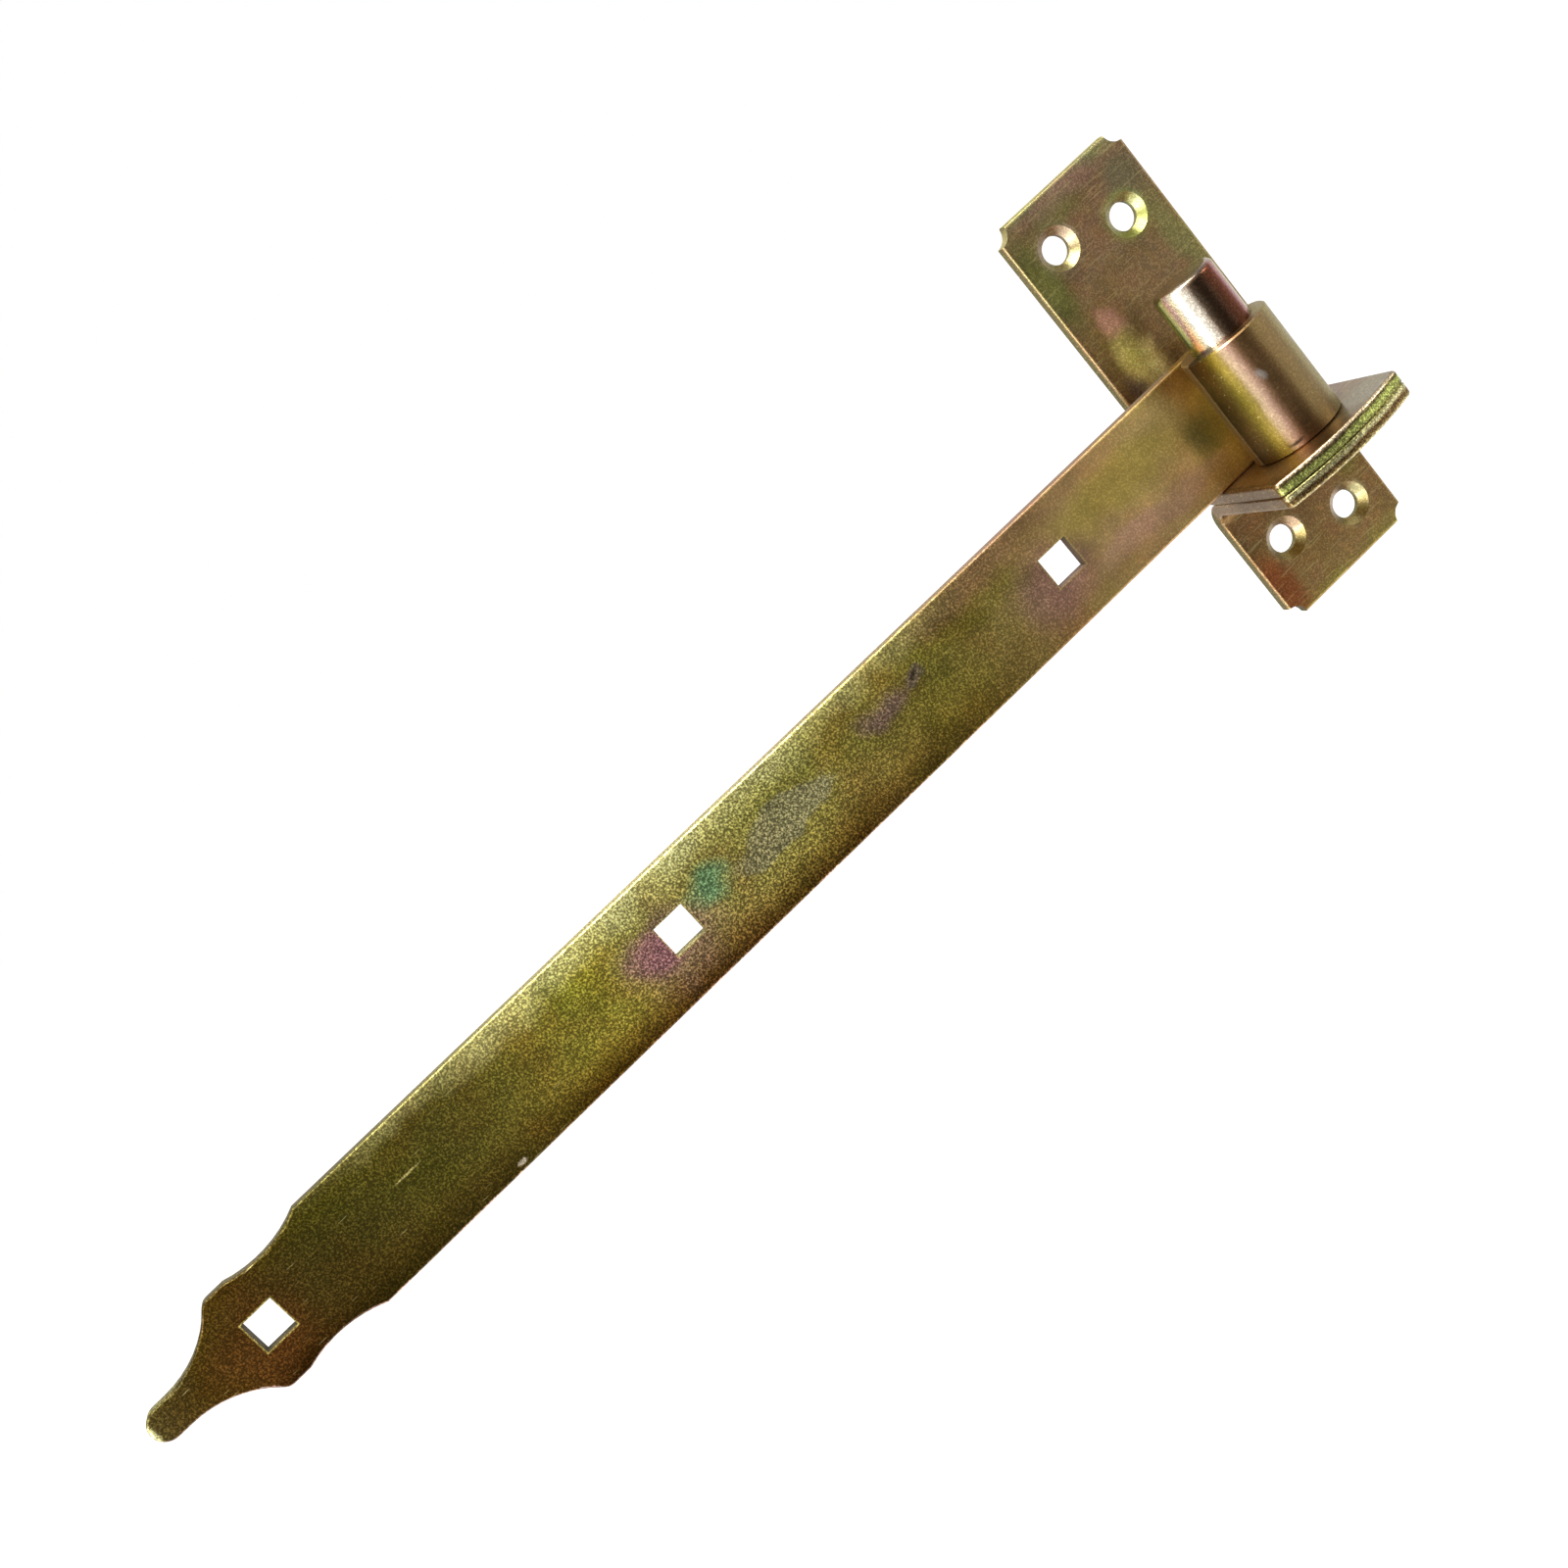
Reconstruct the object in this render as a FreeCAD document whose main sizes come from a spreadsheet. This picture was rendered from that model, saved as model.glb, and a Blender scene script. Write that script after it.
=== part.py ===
"""Lift-off shutter strap hinge: a strap with a rolled eye that turns on a riveted wall pintle.

Frame, in millimetres: the wall is the plane Y = 0 and the hinge stands in front of it, on the
-Y side. +Z is up along the pin, X = 0 is the pin's axis, and Z = 0 is the middle of the wall plate.
The strap points towards -X, as it does on a closed shutter.
"""
import FreeCAD, Part
import math
import os
import re

import Sketcher

# Driving sizes, in millimetres and degrees
SIZES = [
    # Wall plate: two bent sheets, back to back, of one width and thickness
    ("plate_width", 40.0),
    ("sheet_thickness", 3.5),
    ("upper_leg", 83.0),
    ("lower_leg", 37.0),
    ("bend_radius", 3.5),
    ("notch_radius", 3.6),
    ("sheet_face_round", 0.9),
    ("sheet_back_bevel", 0.35),
    # Shelf: its reach is from the wall to the front corners, its bulge is the front edge's bow
    ("shelf_reach", 40.0),
    ("shelf_bulge", 4.0),
    ("shelf_corner_radius", 2.0),
    # Countersunk screw holes, staggered by a step between the left and the right column
    ("screw_hole_diameter", 7.0),
    ("countersink_diameter", 10.8),
    ("countersink_angle", 90.0),
    ("screw_end_inset", 12.5),
    ("screw_stagger", 5.0),
    ("screw_column_offset", 9.2),
    # Pin, its spigot through the shelf and the rivet head under it
    ("pin_diameter", 16.0),
    ("pin_rise", 46.0),
    ("pin_reach", 24.0),
    ("pin_rim_radius", 1.4),
    ("spigot_diameter", 12.0),
    ("spigot_clearance", 0.05),
    ("rivet_head_diameter", 17.0),
    ("rivet_face_diameter", 11.0),
    ("rivet_head_rise", 2.2),
    # Strap: a flat bar with one end rolled into an eye that runs on the pin
    ("strap_length", 350.0),
    ("strap_width", 30.0),
    ("strap_thickness", 3.5),
    ("running_clearance", 0.1),
    ("roll_gap", 0.3),
    ("roll_end_width", 4.0),
    ("roll_flat", 6.5),
    ("strap_face_round", 0.7),
    ("strap_back_bevel", 0.4),
    # Square holes, spread evenly from one near the eye to one in the tip's bulge
    ("first_bolt_reach", 61.0),
    ("last_bolt_inset", 33.4),
    ("bolt_hole_side", 8.5),
    ("bolt_count", 3.0),
    # Strap tip, measured along the strap from its end, then the widths there
    ("nose_radius", 4.1),
    ("nub_length", 7.3),
    ("neck_radius", 25.0),
    ("bulge_land", 6.0),
    ("bulge_width", 27.0),
    ("bulge_corner_radius", 3.0),
    ("waist_depth", 2.0),
    ("tip_length", 54.0),
    # How far a cutting outline runs past the metal that it trims
    ("cut_margin", 1.0),
]

# How near two computed lengths are when they are the same one
NEAR = 1e-5
ALONG_X = FreeCAD.Vector(1, 0, 0)
ALONG_Y = FreeCAD.Vector(0, 1, 0)
ALONG_Z = FreeCAD.Vector(0, 0, 1)

# Lengths that follow from the driving sizes, as formulas of the sheet's cells
OUTER_BEND = "(bend_radius + sheet_thickness)"
SHELF_FRONT = "(shelf_reach + shelf_bulge)"
SEAM_HEIGHT = "((lower_leg - upper_leg) / 2)"
BORE_RADIUS = "(pin_diameter / 2 + running_clearance)"
EYE_RADIUS = f"({BORE_RADIUS} + strap_thickness)"
STRAP_HEIGHT = f"({SEAM_HEIGHT} + sheet_thickness + strap_width / 2)"

document = FreeCAD.newDocument("ShutterStrapHinge")
sheet = document.addObject("Spreadsheet::Sheet", "Sizes")


def fill_sheet():
    """Write each driving size in a cell of its own, with its name as the alias."""
    for row, (name, size) in enumerate(SIZES, start=1):
        sheet.set(f"A{row}", name)
        sheet.set(f"B{row}", str(size))
        sheet.setAlias(f"B{row}", name)
    document.recompute()


def bound(formula):
    """Name the sheet before each of its cells in a formula, as the other objects need it."""
    return re.sub(r"\b([a-z]+(?:_[a-z]+)+)\b", r"Sizes.\1", formula)


def value(formula):
    """Work out a formula of the sheet's cells."""
    return float(sheet.evalExpression(formula))


def bind(feature, name, formula):
    """Tie one property of a feature to a formula of the sheet's cells."""
    feature.setExpression(name, bound(formula))


# Sketch tools: a point is a pair of formulas, and a wire is closed by its last element

def new_body(label, place):
    """Start a body whose origin stands at a point given by three formulas."""
    body = document.addObject("PartDesign::Body", label)
    body.Label = label
    for axis, formula in zip("xyz", place):
        bind(body, f"Placement.Base.{axis}", formula)
    return body


def new_sketch(body, name, plane, offset="0"):
    """Add a sketch on one of the body's origin planes, moved along the plane's normal."""
    sketch = body.newObject("Sketcher::SketchObject", name)
    origin_plane = next(f for f in body.Origin.OriginFeatures if f.Role == plane)
    sketch.AttachmentSupport = [(origin_plane, "")]
    sketch.MapMode = "FlatFace"
    bind(sketch, "AttachmentOffset.Base.z", offset)
    return sketch


def vector(point):
    """The place of a sketch point."""
    return FreeCAD.Vector(value(point[0]), value(point[1]), 0)


def datum(sketch, constraint, formula):
    """Add a constraint whose size is a formula."""
    index = sketch.addConstraint(constraint)
    bind(sketch, f"Constraints[{index}]", formula)


def pin_point(sketch, geometry, end, point):
    """Hold one point of a sketch at its two formulas, measured from the sketch's origin."""
    where = vector(point)
    datum(sketch, Sketcher.Constraint("DistanceX", -1, 1, geometry, end, where.x), point[0])
    datum(sketch, Sketcher.Constraint("DistanceY", -1, 1, geometry, end, where.y), point[1])


def draw_wire(sketch, corners):
    """Draw a closed wire through the corners.

    Each corner is (x, y), reached from the one before by a line, or (x, y, radius, turn) for an
    arc of that radius, with turn 1 for an arc that runs anticlockwise and -1 for clockwise.
    The word long after the turn picks the arc of more than half a circle.
    """
    first = sketch.GeometryCount
    for corner, before in zip(corners, corners[-1:] + corners[:-1]):
        start = vector(before)
        end = vector(corner)
        if len(corner) == 2:
            index = sketch.addGeometry(Part.LineSegment(start, end), False)
            pin_point(sketch, index, 2, corner)
            continue
        radius = value(corner[2])
        turn = corner[3]
        long_way = corner[4:] == ("long",)
        chord = end - start
        height = math.sqrt(max(radius ** 2 - (chord.Length / 2) ** 2, 0.0))
        side = FreeCAD.Vector(-chord.y, chord.x, 0).normalize() * turn
        centre = (start + end) / 2 + side * (-height if long_way else height)
        ends = (start, end) if turn > 0 else (end, start)
        angles = [math.atan2(p.y - centre.y, p.x - centre.x) for p in ends]
        ring = Part.Circle(centre, FreeCAD.Vector(0, 0, 1), radius)
        index = sketch.addGeometry(Part.ArcOfCircle(ring, *angles), False)
        pin_point(sketch, index, 2 if turn > 0 else 1, corner)
        datum(sketch, Sketcher.Constraint("Radius", index, radius), corner[2])
    count = len(corners)
    for step in range(count):
        here = (step, corners[step])
        after = ((step + 1) % count, corners[(step + 1) % count])
        end_of_here = 1 if len(here[1]) > 2 and here[1][3] < 0 else 2
        start_of_after = 2 if len(after[1]) > 2 and after[1][3] < 0 else 1
        sketch.addConstraint(Sketcher.Constraint(
            "Coincident", first + here[0], end_of_here, first + after[0], start_of_after))


def draw_circle(sketch, centre, diameter):
    """Draw a circle with its centre and its diameter held by formulas."""
    ring = Part.Circle(vector(centre), FreeCAD.Vector(0, 0, 1), value(diameter) / 2)
    index = sketch.addGeometry(ring, False)
    pin_point(sketch, index, 3, centre)
    datum(sketch, Sketcher.Constraint("Diameter", index, value(diameter)), diameter)


# Feature tools

def pad(body, sketch, name, length, both_ways=False):
    """Pad a sketch by a formula, to one side or evenly to both."""
    feature = body.newObject("PartDesign::Pad", name)
    feature.Profile = sketch
    if both_ways:
        feature.SideType = "Symmetric"
    bind(feature, "Length", length)
    document.recompute()
    return feature


def cut_through(body, sketch, name):
    """Cut a sketch through the body to both sides, and make sure that it took metal away."""
    before = body.Shape.Volume
    feature = body.newObject("PartDesign::Pocket", name)
    feature.Profile = sketch
    feature.SideType = "Symmetric"
    feature.Type = "ThroughAll"
    document.recompute()
    if body.Shape.Volume >= before:
        raise RuntimeError(f"{name} cut nothing")
    return feature


def edges_where(feature, test):
    """Names of the feature's edges that pass a test."""
    edges = feature.Shape.Edges
    return [f"Edge{number}" for number, edge in enumerate(edges, start=1) if test(edge)]


def dress_edges(body, feature, name, kind, size_property, size, test):
    """Dress the feature's edges that pass a test, and make sure that it worked."""
    names = edges_where(feature, test)
    if not names:
        raise RuntimeError(f"{name} found no edge")
    dressed = body.newObject(kind, name)
    dressed.Base = (feature, names)
    bind(dressed, size_property, size)
    document.recompute()
    if not dressed.isValid():
        raise RuntimeError(f"{name} can't be made at {value(size)}")
    return dressed


def round_edges(body, feature, name, radius, test):
    """Fillet the feature's edges that pass a test."""
    return dress_edges(body, feature, name, "PartDesign::Fillet", "Radius", radius, test)


def bevel_edges(body, feature, name, size, test):
    """Chamfer the feature's edges that pass a test."""
    return dress_edges(body, feature, name, "PartDesign::Chamfer", "Size", size, test)


def runs_along(edge, direction):
    """Whether an edge is a straight one in a direction."""
    ends = [vertex.Point for vertex in edge.Vertexes]
    return len(ends) == 2 and (ends[1] - ends[0]).cross(direction).Length < NEAR


def always(edge, measure, wanted):
    """Whether a measure of a point is the wanted value at both ends and the middle of an edge."""
    middle = edge.valueAt((edge.FirstParameter + edge.LastParameter) / 2)
    points = [vertex.Point for vertex in edge.Vertexes] + [middle]
    return all(abs(measure(point) - wanted) < NEAR for point in points)


# Sub-parts

def make_bracket(label, leg, side):
    """One bent sheet of the pintle, with its shelf layer on the seam.

    side is 1 for the sheet whose leg goes up from the seam and -1 for the one that goes down.
    """
    body = new_body(label, ("0", "0", SEAM_HEIGHT))

    section = new_sketch(body, f"{label}_section", "YZ_Plane")
    draw_wire(section, [
        ("0", f"{side} * {leg}"),
        ("0", f"{side} * {OUTER_BEND}"),
        (f"-{OUTER_BEND}", "0", OUTER_BEND, -side),
        (f"-{SHELF_FRONT}", "0"),
        (f"-{SHELF_FRONT}", f"{side} * sheet_thickness"),
        (f"-{OUTER_BEND}", f"{side} * sheet_thickness"),
        ("-sheet_thickness", f"{side} * {OUTER_BEND}", "bend_radius", side),
        ("-sheet_thickness", f"{side} * {leg}"),
    ])
    pad(body, section, f"{label}_sheet", "plate_width", both_ways=True)

    front = new_sketch(body, f"{label}_shelf_front", "XY_Plane")
    bow = "((pow(plate_width / 2; 2) + pow(shelf_bulge; 2)) / (2 * shelf_bulge))"
    draw_wire(front, [
        ("-plate_width / 2 - cut_margin", "-shelf_reach"),
        ("-plate_width / 2", "-shelf_reach"),
        ("plate_width / 2", "-shelf_reach", bow, 1),
        ("plate_width / 2 + cut_margin", "-shelf_reach"),
        ("plate_width / 2 + cut_margin", f"-{SHELF_FRONT} - cut_margin"),
        ("-plate_width / 2 - cut_margin", f"-{SHELF_FRONT} - cut_margin"),
    ])
    bowed = cut_through(body, front, f"{label}_bowed_front")
    reach = value("shelf_reach")
    cornered = round_edges(
        body, bowed, f"{label}_shelf_corners", "shelf_corner_radius",
        lambda edge: runs_along(edge, ALONG_Z) and abs(edge.CenterOfMass.y + reach) < NEAR)

    # The rims: the punch rounds the face of the sheet, and its back is only eased
    thickness = value("sheet_thickness")
    corner = value(OUTER_BEND)
    inner = value("bend_radius")

    def depth(point):
        """How deep a point lies under the sheet's face, through the leg, the bend and the shelf."""
        height = side * point.z
        if height >= corner - NEAR:
            return point.y + thickness
        if point.y <= -corner + NEAR:
            return thickness - height
        return math.hypot(point.y + corner, height - corner) - inner

    def bend_line(edge):
        """Whether an edge only parts the bend from one of the two flats."""
        middle = edge.CenterOfMass
        on_line = min(abs(middle.y + corner), abs(side * middle.z - corner)) < NEAR
        return runs_along(edge, ALONG_X) and on_line

    faced = round_edges(
        body, cornered, f"{label}_face_rim", "sheet_face_round",
        lambda edge: always(edge, depth, 0.0) and not bend_line(edge))
    bevel_edges(
        body, faced, f"{label}_back_rim", "sheet_back_bevel",
        lambda edge: always(edge, depth, thickness) and not bend_line(edge))

    notches = new_sketch(body, f"{label}_notches", "XZ_Plane")
    for across in ("-plate_width / 2", "plate_width / 2"):
        draw_circle(notches, (across, f"{side} * {leg}"), "2 * notch_radius")
    cut_through(body, notches, f"{label}_scalloped_corners")

    spigot_hole = new_sketch(body, f"{label}_spigot_circle", "XY_Plane")
    draw_circle(spigot_hole, ("0", "-pin_reach"), "spigot_diameter + 2 * spigot_clearance")
    cut_through(body, spigot_hole, f"{label}_spigot_hole")

    screws = new_sketch(body, f"{label}_screw_circles", "XZ_Plane", "sheet_thickness")
    near = f"({leg} - screw_end_inset)"
    far = f"({near} - screw_stagger)"
    draw_circle(screws, (f"-{side} * screw_column_offset", f"{side} * {near}"), "screw_hole_diameter")
    draw_circle(screws, (f"{side} * screw_column_offset", f"{side} * {far}"), "screw_hole_diameter")
    document.recompute()
    holes = body.newObject("PartDesign::Hole", f"{label}_screw_holes")
    holes.Profile = screws
    holes.DepthType = "ThroughAll"
    holes.HoleCutType = "Countersink"
    holes.HoleCutCustomValues = True
    bind(holes, "Diameter", "screw_hole_diameter")
    bind(holes, "HoleCutDiameter", "countersink_diameter")
    bind(holes, "HoleCutCountersinkAngle", "countersink_angle")
    document.recompute()
    return body


def make_pin():
    """The pin: a turned rod, its spigot through both shelf layers and the rivet head below."""
    body = new_body("pin", ("0", "-pin_reach", SEAM_HEIGHT))
    half = new_sketch(body, "pin_half_profile", "XZ_Plane")
    top = "(sheet_thickness + pin_rise)"
    bottom = "(-sheet_thickness - rivet_head_rise)"
    draw_wire(half, [
        ("0", bottom),
        ("rivet_face_diameter / 2", bottom),
        ("rivet_head_diameter / 2", "-sheet_thickness"),
        ("spigot_diameter / 2", "-sheet_thickness"),
        ("spigot_diameter / 2", "sheet_thickness"),
        ("pin_diameter / 2", "sheet_thickness"),
        ("pin_diameter / 2", f"{top} - pin_rim_radius"),
        ("pin_diameter / 2 - pin_rim_radius", top, "pin_rim_radius", 1),
        ("0", top),
    ])
    turned = body.newObject("PartDesign::Revolution", "pin_turned")
    turned.Profile = half
    turned.ReferenceAxis = (half, ["V_Axis"])
    turned.Angle = 360
    document.recompute()
    return body


def make_strap():
    """The strap: a bar with a shaped tip and square holes, rolled into an eye at its other end."""
    body = new_body("strap", ("0", "-pin_reach", STRAP_HEIGHT))

    tip = f"({EYE_RADIUS} - strap_length)"
    neck_start = f"({tip} + nub_length)"
    neck_rise = "(bulge_width / 2 - nose_radius)"
    neck_run = f"sqrt(pow(neck_radius; 2) - pow(neck_radius - {neck_rise}; 2))"
    bulge_start = f"({neck_start} + {neck_run})"
    bulge_end = f"({bulge_start} + bulge_land)"
    shoulder = f"({tip} + tip_length)"
    waist_chord = (f"sqrt(pow({shoulder} - {bulge_end}; 2)"
                   " + pow((strap_width - bulge_width) / 2; 2))")
    waist_radius = f"((pow({waist_chord} / 2; 2) + pow(waist_depth; 2)) / (2 * waist_depth))"
    outline = new_sketch(body, "strap_outline", "XZ_Plane", f"-{EYE_RADIUS}")
    draw_wire(outline, [
        ("-roll_flat", "-strap_width / 2"),
        ("-roll_flat", "strap_width / 2"),
        (shoulder, "strap_width / 2"),
        (bulge_end, "bulge_width / 2", waist_radius, -1),
        (bulge_start, "bulge_width / 2"),
        (neck_start, "nose_radius", "neck_radius", -1),
        (f"{tip} + nose_radius", "nose_radius"),
        (tip, "0", "nose_radius", 1),
        (f"{tip} + nose_radius", "-nose_radius", "nose_radius", 1),
        (neck_start, "-nose_radius"),
        (bulge_start, "-bulge_width / 2", "neck_radius", -1),
        (bulge_end, "-bulge_width / 2"),
        (shoulder, "-strap_width / 2", waist_radius, -1),
    ])
    bar = pad(body, outline, "strap_bar", "strap_thickness")
    bulge_at = value(bulge_start)
    start = value("-roll_flat")
    face = value(BORE_RADIUS)
    back = value(EYE_RADIUS)
    cornered = round_edges(
        body, bar, "strap_bulge_corners", "bulge_corner_radius",
        lambda edge: runs_along(edge, ALONG_Y) and abs(edge.CenterOfMass.x - bulge_at) < NEAR)
    round_edges(
        body, cornered, "strap_face_rim", "strap_face_round",
        lambda edge: always(edge, lambda point: point.y, face) and edge.CenterOfMass.x < start - NEAR)

    # The roll's free end lies flat along the bar's face, a thin gap away from it
    lip = f"({BORE_RADIUS} - roll_gap)"
    lip_outside = f"(-sqrt(pow({EYE_RADIUS}; 2) - pow({lip}; 2)))"
    lip_inside = f"({lip_outside} + roll_end_width)"
    eye = new_sketch(body, "strap_eye_section", "XY_Plane")
    draw_wire(eye, [
        ("-roll_flat", EYE_RADIUS),
        ("0", EYE_RADIUS),
        (lip_outside, lip, EYE_RADIUS, -1, "long"),
        (lip_inside, lip),
        (lip_inside, f"sqrt(pow({BORE_RADIUS}; 2) - pow({lip_inside}; 2))"),
        ("0", BORE_RADIUS, BORE_RADIUS, 1, "long"),
        ("-roll_flat", BORE_RADIUS),
    ])
    rolled = pad(body, eye, "strap_rolled_eye", "strap_width", both_ways=True)

    def rim_of_back(edge):
        """Whether an edge goes round the bar's back or the outside of the roll."""
        flat = always(edge, lambda point: point.y, back)
        bent = always(edge, lambda point: math.hypot(point.x, point.y), back)
        return (flat or bent) and not runs_along(edge, ALONG_Z)

    bevel_edges(body, rolled, "strap_back_rim", "strap_back_bevel", rim_of_back)

    square = new_sketch(body, "strap_bolt_square", "XZ_Plane")
    near = "-first_bolt_reach + bolt_hole_side / 2"
    far = "-first_bolt_reach - bolt_hole_side / 2"
    draw_wire(square, [
        (near, "-bolt_hole_side / 2"),
        (near, "bolt_hole_side / 2"),
        (far, "bolt_hole_side / 2"),
        (far, "-bolt_hole_side / 2"),
    ])
    hole = cut_through(body, square, "strap_bolt_hole")
    row = body.newObject("PartDesign::LinearPattern", "strap_bolt_holes")
    row.Originals = [hole]
    row.Direction = (square, ["H_Axis"])
    row.Reversed = True
    bind(row, "Length", f"strap_length - {EYE_RADIUS} - first_bolt_reach - last_bolt_inset")
    bind(row, "Occurrences", "bolt_count")
    body.Tip = row
    document.recompute()
    return body


def check_and_export(bodies):
    """Stop at any failed object or bad shape, then write one file for each sub-part."""
    document.recompute()
    for item in document.Objects:
        if "Invalid" in item.State or "Error" in item.State:
            raise RuntimeError(f"{item.Label} failed: {item.State}")
    os.makedirs("parts", exist_ok=True)
    for body in bodies:
        shape = body.Shape
        if shape.isNull() or not shape.isValid() or len(shape.Solids) != 1:
            raise RuntimeError(f"{body.Label} has no valid single solid")
        box = shape.optimalBoundingBox()
        shape.exportStep(f"parts/{body.Label}.step")
        print(f"{body.Label}: {shape.Volume:.1f} mm3, X {box.XMin:.2f} to {box.XMax:.2f},"
              f" Y {box.YMin:.2f} to {box.YMax:.2f}, Z {box.ZMin:.2f} to {box.ZMax:.2f}")


fill_sheet()
check_and_export([
    make_bracket("upper_bracket", "upper_leg", 1),
    make_bracket("lower_bracket", "lower_leg", -1),
    make_pin(),
    make_strap(),
])
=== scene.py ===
# %% [markdown]
# # Shutter strap hinge, in yellow passivated zinc
#
# This lesson dresses a hinge for a window shutter. A long flat strap is bolted to the shutter,
# and its end is rolled into an eye that turns on an upright pin. The pin is riveted to a wall
# plate that is made of two bent sheets, back to back.
#
# The four metal parts come from the CAD model and keep their shapes. What is made here is what the
# eye reads first: the finish of each part, the light and the camera.

# %% Load the frame
import math

import bpy
from mathutils import Matrix, Vector


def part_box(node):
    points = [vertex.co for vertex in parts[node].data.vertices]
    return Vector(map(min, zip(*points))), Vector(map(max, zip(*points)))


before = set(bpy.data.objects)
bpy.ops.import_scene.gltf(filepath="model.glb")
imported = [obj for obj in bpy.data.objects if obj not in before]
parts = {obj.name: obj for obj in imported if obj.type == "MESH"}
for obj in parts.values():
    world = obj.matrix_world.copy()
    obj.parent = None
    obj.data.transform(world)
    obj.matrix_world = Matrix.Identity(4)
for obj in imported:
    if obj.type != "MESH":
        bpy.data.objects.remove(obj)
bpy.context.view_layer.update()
print("parts:", ", ".join(sorted(parts)))

# %% [markdown]
# ## Places on the hinge
#
# Every pattern below sits at a real place on the metal, so the places are read from the parts
# where that is possible. Lengths are in millimetres, because that is how a maker thinks, and one
# number turns them to Blender's metres.

# %% The hinge's own places
MM = 0.001

strap_low, strap_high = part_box("strap")
pin_low, pin_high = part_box("pin")
plate_low, plate_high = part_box("upper_bracket")

tip_x = strap_low.x / MM
strap_middle_z = (strap_low.z + strap_high.z) / 2 / MM
pin_y = (pin_low.y + pin_high.y) / 2 / MM
eye_radius = strap_high.x / MM
bar_thickness = 3.5
bar_front_y = strap_high.y / MM - bar_thickness
print(f"strap from X {tip_x:.1f} to {eye_radius:.1f}, middle at Z {strap_middle_z:.1f}")
print(f"pin at Y {pin_y:.1f}, front of the flat bar at Y {bar_front_y:.1f}")

# %% [markdown]
# ## Two small tools
#
# Colours are given as sRGB hex values, as on a paint card, and shaders work in linear light, so
# one function turns the one into the other. A material is a tree of nodes, and writing each node
# out takes many lines, so a second function adds any node with its settings and its links.

# %% Colour converter
def linear(hex_colour):
    """Turn a paint-card colour such as 'a08040' into the linear colour that a shader uses."""
    channels = [int(hex_colour[i:i + 2], 16) / 255 for i in (0, 2, 4)]
    return [c / 12.92 if c <= 0.04045 else ((c + 0.055) / 1.055) ** 2.4 for c in channels] + [1.0]


print("olive gold:", [round(c, 3) for c in linear("6c6524")])


# %% Node adder
def add(tree, kind, inputs=None, **settings):
    """Add one node. Each input is a plain value, or an output socket of another node to link."""
    made = tree.nodes.new(kind)
    for name, setting in settings.items():
        setattr(made, name, setting)
    for name, source in (inputs or {}).items():
        if isinstance(source, bpy.types.NodeSocket):
            tree.links.new(source, made.inputs[name])
        else:
            made.inputs[name].default_value = source
    return made


print("node adder ready")

# %% [markdown]
# ## How the zinc gets its colours
#
# The parts are steel, zinc plated and then dipped in a yellow passivating bath. The bath leaves a
# film that is thinner than a wavelength of light. Where it is a little thicker or thinner it turns
# from olive to gold, mauve or green, so the metal is never one colour. The tints follow how the
# liquid ran and dried: slow changes along the part, rings round the holes, drops and smears.
#
# An image could hold all that, but it would need unwrapping and would blur close up. Here each tint
# is worked out from the place on the part, in the part's own coordinates, so it stays on the metal
# when the strap swings. Each step takes the colour so far and returns the next.

# %% Where a point is, in millimetres
def places(tree, wander):
    """The point's place on the part in mm: once as it is, and once with its outline wandering."""
    coordinates = add(tree, "ShaderNodeTexCoord")
    exact = add(tree, "ShaderNodeVectorMath", {0: coordinates.outputs["Object"], "Scale": 1 / MM},
                operation="SCALE").outputs[0]
    drift = add(tree, "ShaderNodeTexNoise", {"Vector": exact, "Scale": 0.07, "Detail": 3.0})
    centred = add(tree, "ShaderNodeVectorMath", {0: drift.outputs["Color"], 1: (0.5, 0.5, 0.5)},
                  operation="SUBTRACT")
    pushed = add(tree, "ShaderNodeVectorMath", {
        0: centred.outputs[0], 1: (2 * wander,) * 3, 2: exact}, operation="MULTIPLY_ADD")
    return exact, pushed.outputs[0]


print("places ready")


# %% Colours and amounts that change along the part
def along(tree, distance, stops):
    """Blend from stop to stop along a distance in mm, or round an angle in degrees.

    A stop holds a colour in hex, or a plain number for an amount.
    """
    first, last = stops[0][0], stops[-1][0]
    share = add(tree, "ShaderNodeMapRange", {
        "Value": distance, "From Min": first, "From Max": last})
    ramp = add(tree, "ShaderNodeValToRGB", {"Fac": share.outputs["Result"]})
    elements = ramp.color_ramp.elements
    while len(elements) < len(stops):
        elements.new(0.5)
    # All places first and then the colours, in case Blender sorts the stops as they move
    for element, (at, value) in zip(elements, stops):
        element.position = (at - first) / (last - first)
    for element, (at, value) in zip(elements, stops):
        element.color = linear(value) if isinstance(value, str) else (value, value, value, 1)
    return ramp.outputs["Color"]


print("along ready")


# %% A tint that fades out round a place
def tint(tree, base, where, centre, reach, colour, strength, fade=0.7):
    """Lay a stain, a painted highlight or a painted shade on a colour. It is gone at its reach, in
    mm each way from its centre.

    It fades over the outer share of its reach: 0.7 is a soft cloud, 0.2 has a clear outline.
    """
    offset = add(tree, "ShaderNodeVectorMath", {0: where, 1: centre}, operation="SUBTRACT")
    scaled = add(tree, "ShaderNodeVectorMath", {0: offset.outputs[0], 1: reach}, operation="DIVIDE")
    far = add(tree, "ShaderNodeVectorMath", {0: scaled.outputs[0]}, operation="LENGTH")
    amount = add(tree, "ShaderNodeMapRange", {
        "Value": far.outputs["Value"], "From Min": 1.0, "From Max": 1.0 - fade,
        "To Min": 0.0, "To Max": strength}, interpolation_type="SMOOTHSTEP")
    # A colour Mix takes its factor, first and second colour at inputs 0, 6 and 7
    mixed = add(tree, "ShaderNodeMix", {
        0: amount.outputs["Result"], 6: base, 7: linear(colour)}, data_type="RGBA")
    return mixed.outputs[2]


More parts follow.
